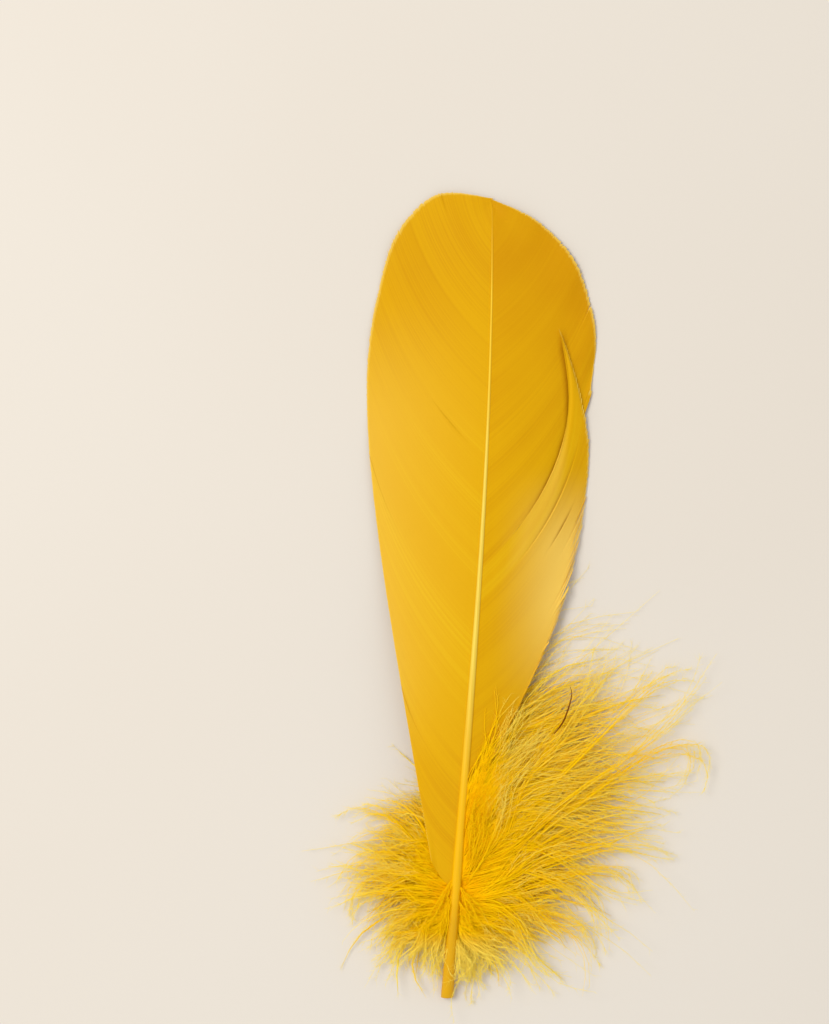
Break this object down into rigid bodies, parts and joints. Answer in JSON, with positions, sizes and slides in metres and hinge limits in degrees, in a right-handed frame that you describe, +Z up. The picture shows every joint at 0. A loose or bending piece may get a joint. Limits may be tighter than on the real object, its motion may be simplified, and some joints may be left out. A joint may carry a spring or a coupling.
{
  "type": "goose feather",
  "caption": "Dyed golden-yellow goose feather lying curved side up: hollow quill, tapering shaft, two close vanes and a fan of loose down at the base.",
  "frame": {"origin": "on the surface that the feather lies on, under the middle of its outline", "axes": "+Y from the quill's cut end to the crown of the vanes, +Z up from the surface, +X to the wider fan of down"},
  "size_m": [0.0854, 0.1706, 0.008],
  "materials": {
    "shaft": "smooth dyed keratin, slightly glossy",
    "vane": "close-set dyed barbs with a soft sheen",
    "down": "loose, soft dyed down"
  },
  "bodies": {
    "root": {"shaft": "shaft", "left_vane": "vane", "right_vane": "vane", "left_down": "down", "right_down": "down"}
  },
  "joints": []
}
